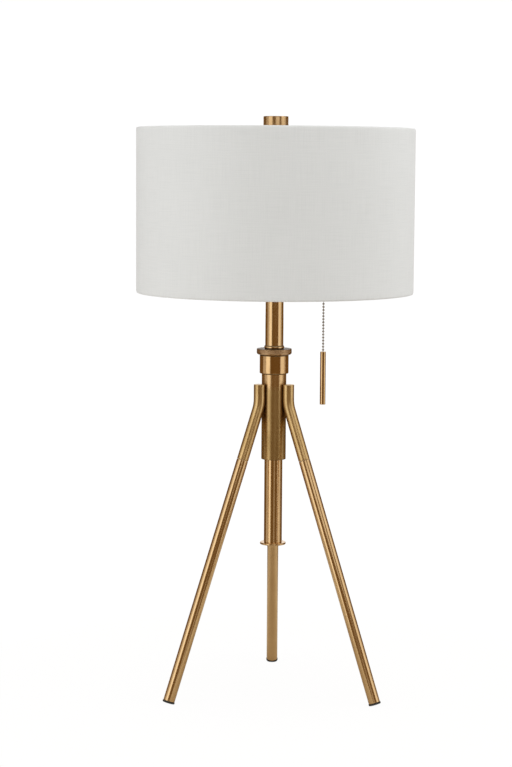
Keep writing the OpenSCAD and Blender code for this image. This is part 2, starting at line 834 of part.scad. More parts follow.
collar_tube();
collar_head();
guide_bush();
leg_bend(az_left);  // leg_bend_left
leg_bend(az_right);  // leg_bend_right
leg_bend(az_back);  // leg_bend_back
leg_stud(az_left);  // leg_stud_left
leg_stud(az_right);  // leg_stud_right
leg_stud(az_back);  // leg_stud_back
leg_rod(az_left);  // leg_rod_left
leg_rod(az_right);  // leg_rod_right
leg_rod(az_back);  // leg_rod_back
foot_cap(az_left);  // foot_cap_left
foot_cap(az_right);  // foot_cap_right
foot_cap(az_back);  // foot_cap_back
collet();
lock_ring();
column_tube();
end_flange();
cord_bushing();
tube_plug();
riser_pipe();
riser_nuts();
hub_plate();
cluster_hub();
arm_nipples();
arm_nuts();
socket_leads();
socket_cap(-1);  // socket_cap_left
socket_cap(1);  // socket_cap_right
socket_shell(-1, false);  // socket_shell_left
socket_shell(1, true);  // socket_shell_right
fibre_liners();
socket_core_left();
socket_core_right();
screw_shell(-1);  // screw_shell_left
screw_shell(1);  // screw_shell_right
centre_contacts();
chain_guide();
lever_pin();
spider_seat();
shade_fabric();
shade_liner();
shade_ring_top();
shade_ring_bottom();
spider();
finial();
bulb_base(-1);  // bulb_base_left
bulb_globe(-1);  // bulb_globe_left
bulb_base(1);  // bulb_base_right
bulb_globe(1);  // bulb_globe_right
switch_lever();
switch_link();
chain_top();
chain_joint();
pull_chain();
bar_bead();
pull_bar();
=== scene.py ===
import json
import math
import bpy
import bmesh
import numpy as np
from mathutils import Matrix, Vector

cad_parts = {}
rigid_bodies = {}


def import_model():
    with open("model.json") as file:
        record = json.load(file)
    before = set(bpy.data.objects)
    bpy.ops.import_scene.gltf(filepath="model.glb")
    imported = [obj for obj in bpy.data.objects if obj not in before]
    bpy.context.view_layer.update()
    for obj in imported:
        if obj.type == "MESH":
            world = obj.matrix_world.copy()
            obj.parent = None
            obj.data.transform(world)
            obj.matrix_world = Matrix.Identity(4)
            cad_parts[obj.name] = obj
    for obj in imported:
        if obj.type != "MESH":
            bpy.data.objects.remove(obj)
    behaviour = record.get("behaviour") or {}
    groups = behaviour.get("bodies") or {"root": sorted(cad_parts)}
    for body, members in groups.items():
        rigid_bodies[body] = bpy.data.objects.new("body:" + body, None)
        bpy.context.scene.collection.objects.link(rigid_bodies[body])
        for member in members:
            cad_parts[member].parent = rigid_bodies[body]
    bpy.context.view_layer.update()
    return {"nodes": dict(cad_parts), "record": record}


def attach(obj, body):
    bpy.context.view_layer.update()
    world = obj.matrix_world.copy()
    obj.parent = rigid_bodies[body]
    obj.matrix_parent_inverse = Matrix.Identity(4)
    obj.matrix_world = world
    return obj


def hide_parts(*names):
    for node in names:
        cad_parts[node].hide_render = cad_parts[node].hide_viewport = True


# Table lamp on three legs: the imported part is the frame, and the pieces that show are made
# again here with rounded edges, knurling, threads and cloth. Lengths are in millimetres until
# a piece is made, and in metres after that.

for thing in list(bpy.data.objects):
    bpy.data.objects.remove(thing)
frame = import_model()
mm = 0.001
print("frame loaded:", len(frame["nodes"]), "nodes")


lens = {"spot": (0, -2.7327, 0.7339), "down": 6.286, "turn": -0.522, "roll": 0.374,
        "focal": 1986.8, "height": 767, "sensor": 36}


def placeCamera():
    down, turn, roll = (math.radians(lens[k]) for k in ("down", "turn", "roll"))
    ahead = Vector((math.sin(turn) * math.cos(down), math.cos(turn) * math.cos(down),
                    -math.sin(down)))
    flat = Vector((math.cos(turn), -math.sin(turn), 0))
    upright = flat.cross(ahead)
    right = math.cos(roll) * flat + math.sin(roll) * upright
    up = -math.sin(roll) * flat + math.cos(roll) * upright
    camera = bpy.data.objects.new("camera", bpy.data.cameras.new("camera"))
    camera.data.sensor_width = lens["sensor"]
    camera.data.lens = lens["focal"] * lens["sensor"] / lens["height"]
    camera.matrix_world = Matrix.Translation(lens["spot"]) @ Matrix(
        (right, up, -ahead)).transposed().to_4x4()
    bpy.context.scene.collection.objects.link(camera)
    bpy.context.scene.camera = camera


placeCamera()
bpy.context.scene.view_settings.view_transform = "Standard"


class Shader:
    # Wraps one output of a material's nodes. Sums written on it add Math nodes, and node()
    # adds any other kind: its settings are set first, then the values or links of its sockets.
    def __init__(self, tree, output=None):
        self.tree, self.output = tree, output

    def node(self, kind, settings=None, sockets=None, output=0):
        made = self.tree.nodes.new("ShaderNode" + kind)
        for key, value in (settings or {}).items():
            if key == "stops":
                for k, (position, colour) in enumerate(value):
                    stop = made.color_ramp.elements[k] if k < 2 else \
                        made.color_ramp.elements.new(position)
                    stop.position, stop.color = position, colour
            else:
                setattr(made, key, value)
        for key, value in (sockets or {}).items():
            if isinstance(value, Shader):
                self.tree.links.new(value.output, made.inputs[key])
            else:
                made.inputs[key].default_value = value
        return Shader(self.tree, made.outputs[output] if len(made.outputs) else None)

    def sum(self, operation, *terms):
        return self.node("Math", {"operation": operation}, dict(enumerate(terms)))

    def __add__(self, other):
        return self.sum("ADD", self, other)

    def __sub__(self, other):
        return self.sum("SUBTRACT", self, other)

    def __rsub__(self, other):
        return self.sum("SUBTRACT", other, self)

    def __mul__(self, other):
        return self.sum("MULTIPLY", self, other)

    __radd__, __rmul__ = __add__, __mul__

    def sine(self):
        return self.sum("SINE", self)

    def size(self):
        return self.sum("ABSOLUTE", self)

    def mix(self, first, second):
        # This value as the share of the second colour in the first
        return self.node("Mix", {"data_type": "RGBA"}, {0: self, 6: first, 7: second}, 2)


def newShader(name):
    material = bpy.data.materials.new(name)
    material.use_nodes = True
    material.node_tree.nodes.clear()
    return material, Shader(material.node_tree)


def finishShader(material, start, sockets):
    surface = start.node("BsdfPrincipled", {}, sockets)
    start.node("OutputMaterial", {}, {"Surface": surface})
    return material


def rgb(red, green, blue):
    return (red, green, blue, 1)


studio = {"background": 1.03, "around": 0.49, "reflected": rgb(0.178, 0.100, 0.033), "aim": 0.5,
          "floorColour": rgb(0.68, 0.60, 0.50), "floorShadeUnder": rgb(0.50, 0.41, 0.31),
          "underShadeFrom": 0.04, "underShadeTo": 0.30, "floorWhite": 1.03, "shadow": 0.06,
          "floorRadius": 4.0, "fadeFrom": 0.35, "fadeTo": 0.95}
# Angle from the camera's direction, distance, height, width, tall, radiance; a card shows only
# in reflections, and a fill only lights what is dull
softboxes = {
    "softboxLeft": (-50, 2.0, 0.85, 1.30, 2.4, 1.12),
    "softboxLeftFill": (-83, 2.0, 0.75, 1.05, 2.6, 0.44),
    "softboxRight": (67, 2.0, 0.90, 1.15, 2.4, 0.88),
    "softboxRightFill": (92, 2.0, 0.75, 0.85, 2.6, 0.50),
    "softboxTop": (0, 0.4, 2.6, 1.8, 1.8, 0.8),
    "softboxHigh": (80, 1.5, 2.4, 1.3, 1.3, 1.9),
    "cardFront": (16, 2.0, 1.10, 1.25, 1.0, 0.80),
    "cardLow": (12, 1.1, 0.085, 0.24, 0.23, 0.34),
    "fillLeft": (-42, 2.3, 1.0, 1.4, 1.8, 0.42),
    "fillRight": (78, 2.3, 1.0, 1.0, 1.8, 0.30),
    "backdrop": (180, 2.4, 1.1, 2.2, 1.6, 0.9),
}
softboxColour = (0.96, 1.0, 1.07)


def lightStudio():
    world = bpy.data.worlds.new("studio")
    world.use_nodes = True
    world.node_tree.nodes.clear()
    start = Shader(world.node_tree)
    seen = start.node("LightPath", output="Is Camera Ray")
    glossy = start.node("LightPath", output="Is Glossy Ray")
    grey = rgb(*[studio["around"]] * 3)
    white = rgb(*[studio["background"]] * 3)
    colour = seen.mix(glossy.mix(grey, studio["reflected"]), white)
    start.node("OutputWorld", {}, {"Surface": start.node("Background", {}, {"Color": colour})})
    bpy.context.scene.world = world
    for name, (angle, distance, height, width, tall, radiance) in softboxes.items():
        light = bpy.data.lights.new(name, "AREA")
        light.shape, light.size, light.size_y = "RECTANGLE", width, tall
        light.energy = radiance * math.pi * width * tall
        light.color = softboxColour
        box = bpy.data.objects.new(name, light)
        a = math.radians(angle)
        box.location = (distance * math.sin(a), -distance * math.cos(a), height)
        aim = Vector((0, 0, min(height, studio["aim"]))) - box.location
        box.rotation_euler = aim.to_track_quat("-Z", "Y").to_euler()
        box.visible_camera = False
        box.visible_diffuse = not name.startswith("card")
        box.visible_glossy = not name.startswith("fill")
        bpy.context.scene.collection.objects.link(box)


def layFloor():
    # A disc whose edge fades into the white behind it, and which can't be seen from beneath.
    # The camera sees it white with a faint shadow; the brass reflects its paper, which has
    # painted shade under the lamp
    angle = np.linspace(0, 2 * np.pi, 96, endpoint=False)
    ring = np.stack([np.cos(angle), np.sin(angle), 0 * angle], 1) * studio["floorRadius"]
    mesh = bpy.data.meshes.new("floor")
    mesh.from_pydata(ring.tolist(), [], [list(range(len(ring)))])
    floor = bpy.data.objects.new("floor", mesh)
    bpy.context.scene.collection.objects.link(floor)
    material, start = newShader("floor")
    place = start.node("TexCoord", output="Object")
    reach = start.node("VectorMath", {"operation": "LENGTH"}, {0: place}, "Value")
    fade = start.node("MapRange", {"interpolation_type": "SMOOTHSTEP"},
                      {"Value": reach, "From Min": studio["fadeFrom"],
                       "From Max": studio["fadeTo"]})
    seen = start.node("LightPath", output="Is Camera Ray")
    # Painted shade on the paper, darkest under the lamp
    under = start.node("MapRange", {"interpolation_type": "SMOOTHSTEP"},
                       {"Value": reach, "From Min": studio["underShadeFrom"],
                        "From Max": studio["underShadeTo"]})
    paper = start.node("BsdfDiffuse", {}, {"Color": under.mix(studio["floorShadeUnder"],
                                                              studio["floorColour"])})
    glow = start.node("Emission", {}, {"Strength": studio["floorWhite"]})
    lit = start.node("MixShader", {}, {0: seen * (1 - studio["shadow"]), 1: paper, 2: glow})
    clear = start.node("BsdfTransparent")
    beneath = start.node("NewGeometry", output="Backfacing")
    start.node("OutputMaterial", {}, {"Surface": start.node(
        "MixShader", {}, {0: start.sum("MAXIMUM", fade, beneath), 1: lit, 2: clear})})
    mesh.materials.append(material)


lightStudio()
layFloor()
print("camera, lights and floor placed")


creviceShade = {"tint": rgb(0.10, 0.060, 0.025), "rough": 0.2}  # painted shade in a crevice, under an overhang or along an edge; also a little rougher
polishAndHighlight = {"tint": rgb(0.72, 0.49, 0.24), "rough": -0.09}  # polished where hands rub, and painted lighter as a highlight
joinShade = {"tint": rgb(0.23, 0.125, 0.045), "rough": 0.1, "middle": 408.0, "half": 31.0,
        "level": 0.7}  # painted shade where the legs meet the collar, over the height of the joints
patina = {"from": 0.35, "to": 0.7, "lacquerRough": 0.15, "brushDepth": 0.02}


def metalFinish(name, look, onPiece=True, bands=(), shadedJoins=()):
    # Cloudy patina over the whole piece, with fine brush marks that run along it or round it.
    # Each band is a height above the floor, a half width in mm and painted crevice shade or a
    # polished band painted lighter as a highlight. Each shaded join is an upright line at x, y,
    # with painted shade full up to one distance from it and gone at another
    material, start = newShader(name)
    place = start.node("TexCoord", output="Object")
    along = start.node("TexCoord", output="UV") if onPiece else place
    cloud = start.node("TexNoise", {}, {"Vector": place, "Scale": look["cloudScale"],
                                        "Detail": 2, "Roughness": 0.45})
    stretched = start.node("Mapping", {}, {"Vector": along, "Scale": look["grain"]})
    brush = start.node("TexNoise", {}, {"Vector": stretched, "Scale": 1, "Detail": 3,
                                        "Roughness": 0.65})
    stain = start.node("MapRange", {}, {"Value": cloud, "From Min": patina["from"],
                                        "From Max": patina["to"]})
    colour = (stain * look["stain"]).mix(look["bright"], look["dark"])
    rough = look["rough"] + (cloud - 0.5) * look["cloudRough"] + (brush - 0.5) * look["brushRough"]
    height = start.node("SeparateXYZ", {}, {0: place}, "Z")
    flat = start.node("VectorMath", {"operation": "MULTIPLY"}, {0: place, 1: (1, 1, 0)})
    # Bands of painted shade, or of polish painted lighter as a highlight
    for middle, half, kind in bands:
        rise = (height - middle * mm).size()
        near = start.node("MapRange", {}, {"Value": rise, "From Min": half * mm,
                                           "From Max": 0.5 * half * mm})
        colour, rough = near.mix(colour, kind["tint"]), rough + near * kind["rough"]
    # Painted shade beside each join, over the height of the joints
    for x, y, full, gone in shadedJoins:
        away = start.node("VectorMath", {"operation": "DISTANCE"},
                          {0: flat, 1: (x * mm, y * mm, 0)}, "Value")
        rise = (height - joinShade["middle"] * mm).size()
        level = start.node("MapRange", {}, {"Value": rise, "From Min": joinShade["half"] * mm,
                                            "From Max": joinShade["level"] * joinShade["half"] * mm})
        black = level * start.node("MapRange", {}, {"Value": away, "From Min": gone * mm,
                                                    "From Max": full * mm})
        colour, rough = black.mix(colour, joinShade["tint"]), rough + black * joinShade["rough"]
    bump = start.node("Bump", {}, {"Height": brush, "Strength": look["relief"],
                                   "Distance": patina["brushDepth"] * mm})
    return finishShader(material, start, {
        "Base Color": colour, "Roughness": rough, "Metallic": 1, "Coat Weight": look["lacquer"],
        "Coat Roughness": patina["lacquerRough"], "Normal": bump})


brushedAlong, brushedRound, evenGrain = (6000, 25, 1), (25, 6000, 1), (2500, 2500, 2500)
satinLook = {"bright": rgb(0.67, 0.464, 0.218), "dark": rgb(0.49, 0.312, 0.122), "stain": 0.5,
             "rough": 0.29, "cloudScale": 45, "cloudRough": 0.10, "brushRough": 0.07,
             "grain": brushedAlong, "relief": 0.11, "lacquer": 0.35}
brightLook = {"bright": rgb(0.76, 0.532, 0.265), "dark": rgb(0.61, 0.395, 0.170), "stain": 0.35,
              "rough": 0.17, "cloudScale": 30, "cloudRough": 0.08, "brushRough": 0.06,
              "grain": brushedAlong, "relief": 0.05, "lacquer": 0.45}
knurlLook = {**satinLook, "bright": rgb(0.65, 0.435, 0.235), "dark": rgb(0.31, 0.195, 0.095),
             "stain": 0.8, "grain": (2500, 2500, 1), "rough": 0.24, "lacquer": 0.15}
steelLook = {"bright": rgb(0.66, 0.65, 0.63), "dark": rgb(0.48, 0.46, 0.43), "stain": 0.5,
             "rough": 0.30, "cloudScale": 60, "cloudRough": 0.14, "brushRough": 0.08,
             "grain": evenGrain, "relief": 0.10, "lacquer": 0.0}
chainLook = {**steelLook, "bright": rgb(0.52, 0.49, 0.455), "dark": rgb(0.35, 0.325, 0.295),
             "rough": 0.30, "cloudScale": 300}
capLook = {**steelLook, "bright": rgb(0.84, 0.84, 0.84), "dark": rgb(0.70, 0.70, 0.70),
           "rough": 0.24}


moulded = {"finer": 22, "depth": 0.05, "glossSpread": 0.12}


def plainFinish(name, light, dark, rough, scale, relief, coat=0.0):
    # Moulded or cast stuff: a slight mottle in colour and gloss over a fine grain
    material, start = newShader(name)
    place = start.node("TexCoord", output="Object")
    cloud = start.node("TexNoise", {}, {"Vector": place, "Scale": scale, "Detail": 3})
    grain = start.node("TexNoise", {}, {"Vector": place, "Scale": moulded["finer"] * scale,
                                        "Detail": 2})
    bump = start.node("Bump", {}, {"Height": grain, "Strength": relief,
                                   "Distance": moulded["depth"] * mm})
    return finishShader(material, start, {
        "Base Color": cloud.mix(light, dark),
        "Roughness": rough + (grain - 0.5) * moulded["glossSpread"],
        "Coat Weight": coat, "Normal": bump})


linenLook = {"light": rgb(0.865, 0.850, 0.803), "shadow": rgb(0.755, 0.745, 0.70),
             "thread": 0.62, "uneven": 260, "warpWander": 1.6, "weftWander": 1.3,
             "streaks": ((26, 900, 1), (900, 22, 1)), "streakFrom": 0.40, "streakTo": 0.72,
             "slub": 0.5, "weave": 0.30, "mottle": 0.25, "mottleScale": 14,
             "weaveRise": 0.7, "slubRise": 0.8, "relief": 0.35, "depth": 0.12,
             "rough": 0.88, "slubGloss": 0.06, "sheen": 0.15}


def linenFinish(name):
    # Plain weave on the cloth's own map, in metres: threads pass over and under each other,
    # and thick and thin places run along the threads both ways
    look = linenLook
    material, start = newShader(name)
    cloth = start.node("TexCoord", output="UV")
    parts = start.node("SeparateXYZ", {}, {0: cloth}, "X")
    down = Shader(start.tree, parts.output.node.outputs["Y"])
    turn = math.pi / (look["thread"] * mm)
    uneven = start.node("TexNoise", {}, {"Vector": cloth, "Scale": look["uneven"], "Detail": 2})
    warp = (parts * turn + uneven * look["warpWander"]).sine()
    weft = (down * turn + uneven * look["weftWander"]).sine()
    weave = warp * weft * 0.5 + 0.5
    slubs = []
    for scale in look["streaks"]:
        stretched = start.node("Mapping", {}, {"Vector": cloth, "Scale": scale})
        streak = start.node("TexNoise", {}, {"Vector": stretched, "Scale": 1, "Detail": 2,
                                             "Roughness": 0.5})
        slubs.append(start.node("MapRange", {}, {"Value": streak, "From Min": look["streakFrom"],
                                                 "From Max": look["streakTo"]}))
    slub = (slubs[0] + slubs[1]) * 0.5
    cloud = start.node("TexNoise", {}, {"Vector": cloth, "Scale": look["mottleScale"],
                                        "Detail": 2})
    # The darker colour comes in along the slubs and in a random mottle, the cloth's own tone, and
    # as painted shade where threads dip under each other
    shadow = slub * look["slub"] + (1 - weave) * look["weave"] + (cloud - 0.5) * look["mottle"]
    bump = start.node("Bump", {}, {"Height": weave * look["weaveRise"] + slub * look["slubRise"],
                                   "Strength": look["relief"], "Distance": look["depth"] * mm})
    return finishShader(material, start, {
        "Base Color": shadow.mix(look["light"], look["shadow"]),
        "Roughness": look["rough"] - slub * look["slubGloss"], "Sheen Weight": look["sheen"],
        "Sheen Roughness": 0.5, "Specular IOR Level": 0.25, "Normal": bump})


finishes = {
    "satin_brass": metalFinish("satin brass", satinLook),
    "bright_brass": metalFinish("bright brass", brightLook),
    "knurled_brass": metalFinish("knurled brass", knurlLook),
    "steel": metalFinish("zinc steel", steelLook, False),
    "chain_steel": metalFinish("chain metal", chainLook, False),
    "bulb_cap": metalFinish("bulb cap", capLook, False),
    "rubber": plainFinish("black rubber", rgb(0.028, 0.027, 0.026), rgb(0.016, 0.015, 0.014),
                          0.55, 90, 0.3),
    "nylon": plainFinish("nylon", rgb(0.86, 0.84, 0.76), rgb(0.78, 0.76, 0.68), 0.4, 60, 0.1),
    "linen": linenFinish("linen"),
    "liner": plainFinish("shade film", rgb(0.90, 0.89, 0.86), rgb(0.86, 0.85, 0.81), 0.5, 40,
                         0.15),
    "fibre": plainFinish("pressed fibre", rgb(0.52, 0.38, 0.22), rgb(0.40, 0.27, 0.14), 0.8,
                         120, 0.4),
    "phenolic": plainFinish("black moulding", rgb(0.035, 0.032, 0.030),
                            rgb(0.022, 0.020, 0.018), 0.25, 80, 0.1, 0.3),
    "bulb_glass": plainFinish("frosted glass", rgb(0.90, 0.90, 0.885), rgb(0.87, 0.87, 0.85),
                              0.32, 30, 0.05, 0.4),
}
brassOnSolid = {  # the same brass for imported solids, whose meshes carry no map
    "satin_brass": metalFinish("satin brass solid", {**satinLook, "grain": evenGrain}, False),
    "bright_brass": metalFinish("bright brass solid", {**brightLook, "grain": evenGrain}, False),
}
turnedLook = {**brightLook, "grain": brushedRound, "rough": 0.20, "relief": 0.12}
turnedBrass = metalFinish("turned brass", turnedLook)
slotOf = {row["node"]: row["material_slot"] for row in frame["record"]["subparts"]}
bodyOf = {node: body for body, nodes in frame["record"]["behaviour"]["bodies"].items()
          for node in nodes}
for name, node in frame["nodes"].items():
    slot = slotOf[name]
    node.material_slots[0].material = brassOnSolid.get(slot, finishes[slot])
print("finishes made:", len(bpy.data.materials))


deburred, filed, eased = 0.1, 0.2, 0.3  # radii of corners that no piece sets for itself


def rounded(points, radius, closed=True, steps=5):
    # Each corner B between its neighbours becomes the quadratic curve
    # (1-s)^2 (B + cut u) + 2s(1-s) B + s^2 (B + cut v), where u and v point to the neighbours,
    # with one more point a little further out on each side, so that flats shade flat
    corner = np.asarray(points, float)
    before, after = np.roll(corner, 1, 0) - corner, np.roll(corner, -1, 0) - corner
    span = np.minimum(np.linalg.norm(before, axis=1), np.linalg.norm(after, axis=1))
    cut = np.minimum(np.broadcast_to(radius, span.shape), 0.36 * span)
    if not closed:
        cut[[0, -1]] = 0
    u = before / np.linalg.norm(before, axis=1, keepdims=True) * cut[:, None]
    v = after / np.linalg.norm(after, axis=1, keepdims=True) * cut[:, None]
    s = np.linspace(0, 1, steps)[None, :, None]
    b = corner[:, None]
    curve = b + (1 - s) ** 2 * u[:, None] + s ** 2 * v[:, None]
    return np.concatenate([b + 1.35 * u[:, None], curve, b + 1.35 * v[:, None]], 1).reshape(-1, 2)


def spun(profile, around=96):
    # A solid of revolution: (r, z) of the profile at angle t gives (r cos t, r sin t, z)
    angle = np.linspace(0, 2 * np.pi, around, endpoint=False)
    r, z = profile[:, :1], profile[:, 1:]
    return np.stack(np.broadcast_arrays(r * np.cos(angle), r * np.sin(angle), z), -1)


def swept(path, radius, turn, around=48):
    # A round bar along a path in the plane y = 0 that heads down and leans out by the angle
    # turn: centre + radius (cos t side + sin t up), where side is the plane's normal and up
    # stands square on it and on the path
    turn = np.asarray(turn, float)
    ahead = np.stack([np.sin(turn), 0 * turn, -np.cos(turn)], 1)
    side = np.broadcast_to(np.array([0.0, 1, 0]), path.shape)
    up = np.cross(ahead, side)
    angle = np.linspace(0, 2 * np.pi, around, endpoint=False)[None, :, None]
    reach = np.broadcast_to(radius, len(path))[:, None, None]
    return path[:, None] + reach * (np.cos(angle) * side[:, None] + np.sin(angle) * up[:, None])


def roundedEnds(length, radius, edge, steps=6):
    # Stations and radii of a bar whose ends are flat with rounded edges
    turn = np.linspace(0, np.pi / 2, steps)
    near = np.concatenate([[0], edge * (1 - np.cos(turn)), [2 * edge]])
    wide = np.concatenate([[0], radius - edge + edge * np.sin(turn), [radius]])
    return np.concatenate([near, (length - near)[::-1]]), np.concatenate([wide, wide[::-1]])


def placed(points, matrix):
    # The points of a grid through a 4x4 matrix
    turn, shift = np.array(matrix)[:3, :3], np.array(matrix)[:3, 3]
    return points @ turn.T + shift


def addPiece(name, grids, material, body, stands=(), wrapRows=True):
    # One mesh from grids of points, rows by columns, whose columns close into rings and whose
    # rows close too if wrapRows says so. The map is in metres: round the ring by along the rows
    corners, faces, maps, first = [], [], [], 0
    for grid in grids:
        rows, columns = grid.shape[:2]
        i, j = np.meshgrid(np.arange(rows if wrapRows else rows - 1), np.arange(columns),
                           indexing="ij")
        ii, jj = np.stack([i, i, i + 1, i + 1], -1), np.stack([j, j + 1, j + 1, j], -1)
        faces.append((ii % rows * columns + jj % columns).reshape(-1, 4) + first)
        step = np.linalg.norm(np.roll(grid, -1, 0) - grid, axis=2).max(1)
        along = np.concatenate([[0], np.cumsum(step)]) * mm
        girth = np.linalg.norm(np.roll(grid, -1, 1) - grid, axis=2).sum(1).max() * mm
        maps.append(np.stack([jj / columns * girth, along[ii]], -1).reshape(-1, 2))
        corners.append(grid.reshape(-1, 3) * mm)
        first += rows * columns
    mesh = bpy.data.meshes.new(name)
    mesh.from_pydata(np.concatenate(corners).tolist(), [], np.concatenate(faces).tolist())
    mesh.uv_layers.new(name="map").data.foreach_set("uv", np.concatenate(maps).ravel())
    work = bmesh.new()
    work.from_mesh(mesh)
    bmesh.ops.remove_doubles(work, verts=work.verts, dist=1e-7)
    bmesh.ops.delete(work, geom=[e for e in work.edges if e.is_wire], context="EDGES")
    bmesh.ops.recalc_face_normals(work, faces=work.faces)
    work.to_mesh(mesh)
    work.free()
    mesh.polygons.foreach_set("use_smooth", np.ones(len(mesh.polygons), bool))
    mesh.set_sharp_from_angle(angle=math.radians(38))
    mesh.materials.append(material)
    piece = bpy.data.objects.new(name, mesh)
    bpy.context.scene.collection.objects.link(piece)
    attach(piece, body)
    if stands:
        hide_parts(*stands)
    return piece


def standIn(node, grids, material=None, wrapRows=True):
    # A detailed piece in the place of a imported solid, with its body and slot
    slot = slotOf[node]
    return addPiece(node + "Fine", grids, material or finishes[slot], bodyOf[node],
                    (node,), wrapRows)


leg = {"radius": 7.95, "tilt": 19.1563, "hipOut": 22.91, "hipUp": 405.0, "stub": 28.0,
       "bend": 50.0, "joint": 79.9373, "length": 426.864, "edge": 0.5, "hairline": 0.12,
       "shadeFull": 17.5, "shadeGone": 20.5}
footCap = {"radius": 8.45, "thick": 2.6, "edge": 1.1, "plug": 6.35, "plugLength": 14.0,
           "neckEdge": 0.5, "plugEdge": 0.8}
legTurns = {"left": 210, "right": 330, "back": 90}
upperLook = {**satinLook, "bright": rgb(0.72, 0.510, 0.228), "dark": rgb(0.53, 0.35, 0.130),
             "rough": 0.32, "lacquer": 0.2}
# Painted shade on the inner side of each leg where it meets the collar
upperLegBrass = metalFinish("upper leg brass", upperLook,
                            shadedJoins=[(0, 0, leg["shadeFull"], leg["shadeGone"])])

collar = {"outer": 16.96, "bore": 15.11, "z0": 328.0, "z1": 459.6, "edge": 0.7,
          "rubbedAndLit": 440.0, "rubbedAndLitHalf": 16.0, "shadeFull": 8.6, "shadeGone": 12.0}
head = {"outer": 19.96, "z0": 447.6, "z1": 473.6, "bore": 15.12, "seat": 16.42, "seatZ": 460.9,
        "wedgeZ": 465.9, "edge": 1.3, "onTube": 17.01}
collarLook = {**satinLook, "bright": rgb(0.59, 0.412, 0.175), "dark": rgb(0.44, 0.285, 0.10),
              "rough": 0.33, "lacquer": 0.15}
# The collar has painted shade under the head and along its bottom edge, a polished band painted
# lighter as a highlight, and painted shade where the legs meet it
collarBrass = metalFinish(
    "collar brass", collarLook,
    bands=[(collar["rubbedAndLit"], collar["rubbedAndLitHalf"], polishAndHighlight), (head["z0"] - 0.3, 0.9, creviceShade),
           (collar["z0"], 0.8, creviceShade)],
    shadedJoins=[(leg["hipOut"] * math.cos(math.radians(a)), leg["hipOut"] * math.sin(math.radians(a)),
            collar["shadeFull"], collar["shadeGone"]) for a in sorted(legTurns.values())])
headLook = {**satinLook, "grain": brushedRound, "rough": 0.14, "bright": rgb(0.76, 0.515, 0.25),
            "dark": rgb(0.55, 0.34, 0.135), "lacquer": 0.2}
# Painted shade on the head's top under the lock ring and at its foot
headBrass = metalFinish("head brass", headLook,
                        bands=[(head["z1"] + 0.1, 2.0, creviceShade), (head["z0"], 0.5, creviceShade)])


def makeCollar():
    # The tube that the legs are brazed to, and on it the head whose cone squeezes the collet
    c, h = collar, head
    tube = rounded([(c["bore"], c["z0"]), (c["outer"], c["z0"]), (c["outer"], c["z1"]),
                    (c["bore"], c["z1"])], c["edge"])
    standIn("collar_tube", [spun(tube)], collarBrass)
    body = rounded([(h["onTube"], h["z0"]), (h["outer"], h["z0"]), (h["outer"], h["z1"]),
                    (h["bore"], h["z1"]), (h["bore"], h["wedgeZ"]), (h["seat"], h["seatZ"]),
                    (h["seat"], c["z1"]), (h["onTube"], c["z1"])],
                   [deburred, h["edge"], h["edge"], eased] + [deburred] * 4)
    standIn("collar_head", [spun(body, 128)], headBrass)


def legFrame(azimuth):
    # From a leg's own axes, with Z down its slant from the hip, to the lamp's
    return (Matrix.Rotation(math.radians(azimuth), 4, "Z")
            @ Matrix.Translation((leg["hipOut"], 0, leg["hipUp"]))
            @ Matrix.Rotation(math.radians(180 - leg["tilt"]), 4, "Y"))


def upperLegPath():
    # Straight down the stub, round the bend, and down the slant to the joint, in the plane
    # y = 0; the stations stand closer together where the edges of the ends are rounded
    tilt = math.radians(leg["tilt"])
    tangent = leg["bend"] * math.tan(tilt / 2)
    top, arc = leg["stub"] - tangent, leg["bend"] * tilt
    slant = leg["joint"] - leg["hairline"] - tangent
    ends, radii = roundedEnds(top + arc + slant, leg["radius"], leg["edge"])
    middle = top + arc * np.linspace(-0.02, 1.02, 26)
    s = np.concatenate([ends[:len(ends) // 2], middle, ends[len(ends) // 2:]])
    half = len(radii) // 2
    radii = np.concatenate([radii[:half], np.full(len(middle), leg["radius"]), radii[half:]])
    turn = np.clip((s - top) / leg["bend"], 0, tilt)
    beyond = np.clip(s - top - arc, 0, None)
    x = leg["hipOut"] + leg["bend"] * (1 - np.cos(turn)) + beyond * math.sin(tilt)
    z = (leg["hipUp"] + leg["stub"] - np.clip(s, 0, top) - leg["bend"] * np.sin(turn)
         - beyond * math.cos(tilt))
    return np.stack([x, 0 * x, z], 1), radii, turn


def makeLegs():
    # Each leg is a bent upper bar, a straight lower one past a hairline joint, and a foot cap
    # spun about the slant, whose edge is cut level with the floor
    bent = upperLegPath()
    rod = leg["length"] - footCap["thick"] - leg["joint"] - 2 * leg["hairline"]
    stations, reach = roundedEnds(rod, leg["radius"], leg["edge"])
    straight = spun(np.stack([reach, stations + leg["joint"] + leg["hairline"]], 1), 64)
    c, end = footCap, leg["length"]
    outline = rounded([(0, end), (c["radius"], end), (c["radius"], end - c["thick"]),
                       (c["plug"], end - c["thick"]),
                       (c["plug"], end - c["thick"] - c["plugLength"]),
                       (0, end - c["thick"] - c["plugLength"])],
                      [0, c["edge"], c["neckEdge"], deburred, c["plugEdge"], 0], closed=False)
    for name, azimuth in legTurns.items():
        turn = Matrix.Rotation(math.radians(azimuth), 4, "Z")
        standIn("leg_bend_" + name, [placed(swept(*bent, 64), turn)], upperLegBrass, False)
        standIn("leg_rod_" + name, [placed(straight, legFrame(azimuth))], wrapRows=False)
        foot = placed(spun(outline, 64), legFrame(azimuth))
        foot[..., 2] = np.maximum(foot[..., 2], 0)  # the flat on which it stands
        standIn("foot_cap_" + name, [foot], wrapRows=False)


lockRing = {"radius": 24.21, "bore": 15.12, "z0": 473.9, "z1": 481.7, "edge": 0.6,
            "bevel": 1.6, "diamonds": 92, "pitch": 2.1, "depth": 0.26, "perDiamond": 8,
            "rows": 34, "topRow": 1.0, "plainRim": 0.5, "fadeIn": 0.6}
# Painted shade on the ring's top face beside the collet's lip
ringBrass = metalFinish("ring brass", knurlLook, bands=[(lockRing["z1"] + 0.2, 0.5, creviceShade)])


